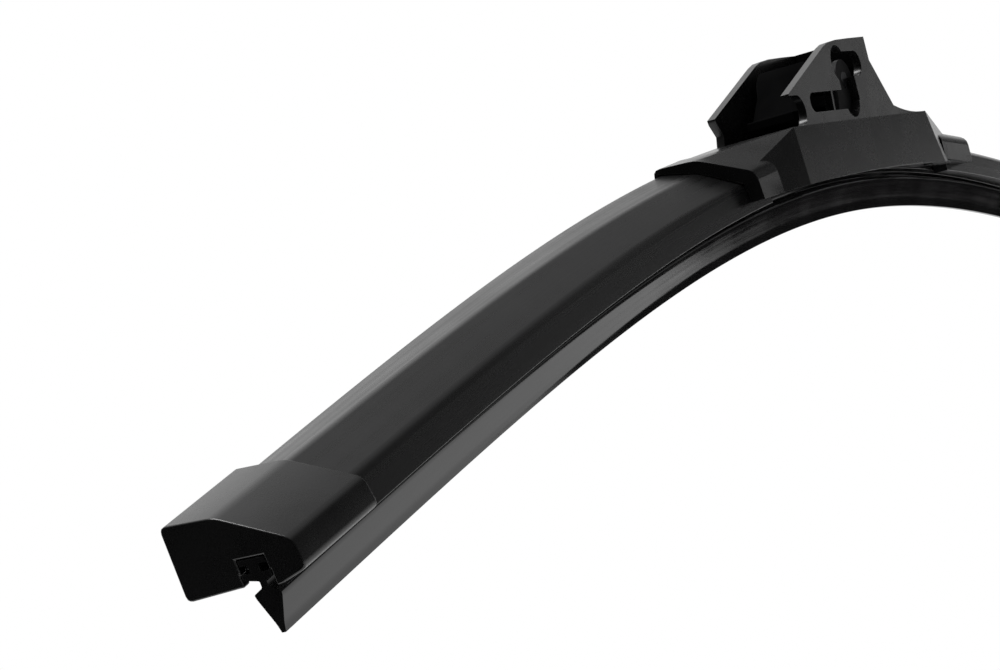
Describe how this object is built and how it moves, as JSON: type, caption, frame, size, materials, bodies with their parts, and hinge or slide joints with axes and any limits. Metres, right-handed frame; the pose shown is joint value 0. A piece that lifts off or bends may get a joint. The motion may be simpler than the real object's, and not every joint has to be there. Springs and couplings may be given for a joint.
{
  "type": "wiper blade",
  "caption": "Frameless windscreen wiper blade: bowed steel rails in a rubber with a one-sided hollow spoiler, moulded end caps, and a cheeked connector with a pivoting clip for a hook arm.",
  "frame": {"origin": "centre of the cross pin that the arm clip turns on, at the middle of the blade", "axes": "+X along the blade, away from the end seen in front; +Y along the cross pin, towards the spoiler's tall wall; +Z away from the glass"},
  "size_m": [0.4036, 0.0196, 0.0646],
  "materials": {
    "moulded_black": "fine satin grain, black",
    "clip_plastic": "plain moulded, black",
    "spoiler_rubber": "soft satin, black",
    "wiping_rubber": "dull graphite-coated, black",
    "spring_steel": "rolled spring strip",
    "coated_steel": "black coated stamping",
    "pin_steel": "zinc-plated"
  },
  "bodies": {
    "clip": {"arm_clip": "clip_plastic"},
    "blade": {"connector_cover": "moulded_black", "pin_bracket": "coated_steel", "rail_clamp": "coated_steel", "pin_tube": "pin_steel", "pin_rivet": "pin_steel", "bracket_rivet_1": "pin_steel", "bracket_rivet_2": "pin_steel", "bracket_rivet_3": "pin_steel", "bracket_rivet_4": "pin_steel", "rail_left": "spring_steel", "rail_right": "spring_steel", "wiper_rubber": "wiping_rubber", "spoiler_front": "spoiler_rubber", "spoiler_rear": "spoiler_rubber", "rail_stop_front": "spring_steel", "rail_stop_rear": "spring_steel", "end_cap_front": "moulded_black", "end_cap_rear": "moulded_black"}
  },
  "joints": [
    {"name": "blade_pivot", "type": "hinge", "parent": "clip", "child": "blade", "pos_m": [0, 0, 0], "axis": [0, 1, 0], "range_deg": [-15, 15]}
  ]
}
